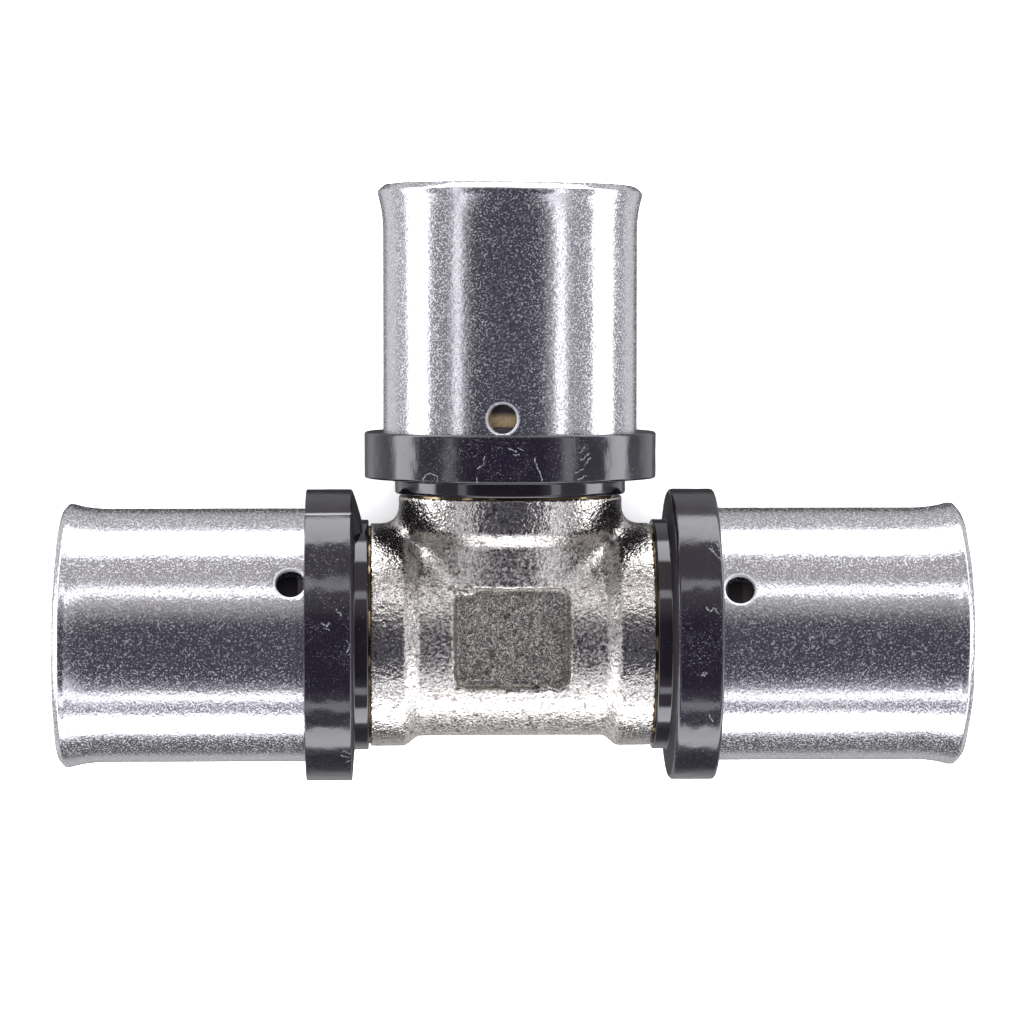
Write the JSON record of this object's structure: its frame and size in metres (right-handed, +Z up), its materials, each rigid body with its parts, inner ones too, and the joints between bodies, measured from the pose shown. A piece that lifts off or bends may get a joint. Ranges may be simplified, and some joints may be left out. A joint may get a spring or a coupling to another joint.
{
  "type": "press fit tee fitting",
  "caption": "Equal press tee for multilayer pipe: forged body with barbed nipples, seals, retaining rings and press sleeves.",
  "frame": {"origin": "on the surface that the tee lies on, under the middle of its outline; the run's axis passes 13.27 mm above the surface at y = -13.815 mm, and the axes cross at x = 0", "axes": "+X along the run towards the right-hand sleeve, +Y along the branch towards its mouth, +Z up, out of the side with the recessed panel"},
  "size_m": [0.0818, 0.0542, 0.0265],
  "materials": {
    "nickel_brass": "forged brass, nickel plated, rough cast skin; bare brass where machined after plating",
    "stainless": "drawn stainless steel, tumbled",
    "ring_plastic": "black moulded plastic, semi-gloss, lightly scuffed",
    "seal_rubber": "black seal rubber, smooth"
  },
  "bodies": {
    "root": {"body": "nickel_brass", "sleeve_left": "stainless", "sleeve_right": "stainless", "sleeve_branch": "stainless", "ring_left": "ring_plastic", "ring_right": "ring_plastic", "ring_branch": "ring_plastic", "o_ring_left_inner": "seal_rubber", "o_ring_left_outer": "seal_rubber", "o_ring_right_inner": "seal_rubber", "o_ring_right_outer": "seal_rubber", "o_ring_branch_inner": "seal_rubber", "o_ring_branch_outer": "seal_rubber"}
  },
  "joints": []
}
